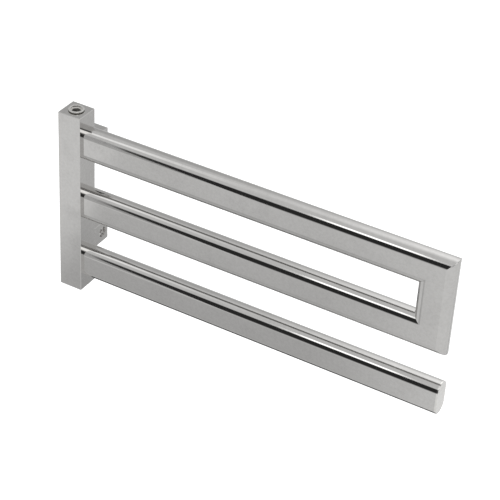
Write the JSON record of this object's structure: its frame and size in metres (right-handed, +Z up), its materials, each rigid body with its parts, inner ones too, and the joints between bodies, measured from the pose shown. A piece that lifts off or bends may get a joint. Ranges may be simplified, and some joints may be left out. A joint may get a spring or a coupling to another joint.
{
  "type": "heated towel rail",
  "caption": "Wall-hung electric towel rail: a square post carries flat-oval bars, two of them mitred into a U, with block standoffs and a cable inlet on top.",
  "frame": {"origin": "on the axis of the lower wall screw hole, in the plane of the wall", "axes": "+X along the bars to their free ends, -Y away from the wall towards the room, +Z up"},
  "size_m": [0.5, 0.057, 0.2422],
  "materials": {
    "polished_steel": "mirror polished",
    "plain_steel": "plain zinc plated",
    "lock_steel": "polished screw",
    "seal_rubber": "satin black",
    "cable_silicone": "silicone rubber sheath",
    "brass": "bright",
    "saddle_aluminium": "as extruded",
    "terminal_ceramic": "unglazed",
    "cutout_body": "moulded"
  },
  "bodies": {
    "root": {"post_tube": "polished_steel", "post_top_plate": "polished_steel", "foot_anchor_bar": "plain_steel", "foot_cover": "polished_steel", "foot_cover_screw": "lock_steel", "top_bar": "polished_steel", "middle_bar": "polished_steel", "end_bar": "polished_steel", "bottom_bar": "polished_steel", "bottom_bar_cap": "polished_steel", "inlet_bush": "polished_steel", "inlet_seal_ring": "seal_rubber", "inlet_lock_nut": "plain_steel", "heating_cable": "cable_silicone", "cable_ferrules": "brass", "loop_heat_saddles": "saddle_aluminium", "hairpin_heat_saddles": "saddle_aluminium", "wiring_chassis": "plain_steel", "chassis_nut": "plain_steel", "terminal_block": "terminal_ceramic", "terminal_fixing_screws": "plain_steel", "terminal_clamp_screws": "brass", "thermal_cutout": "cutout_body", "cutout_strap": "plain_steel", "cutout_rivets": "plain_steel", "cutout_leads": "cable_silicone", "earth_stud": "brass", "earth_washer": "plain_steel", "earth_nut": "brass", "upper_bracket_block": "polished_steel", "lower_bracket_block": "polished_steel", "upper_wall_spigot": "plain_steel", "lower_wall_spigot": "plain_steel", "bracket_lock_screws": "lock_steel"}
  },
  "joints": []
}
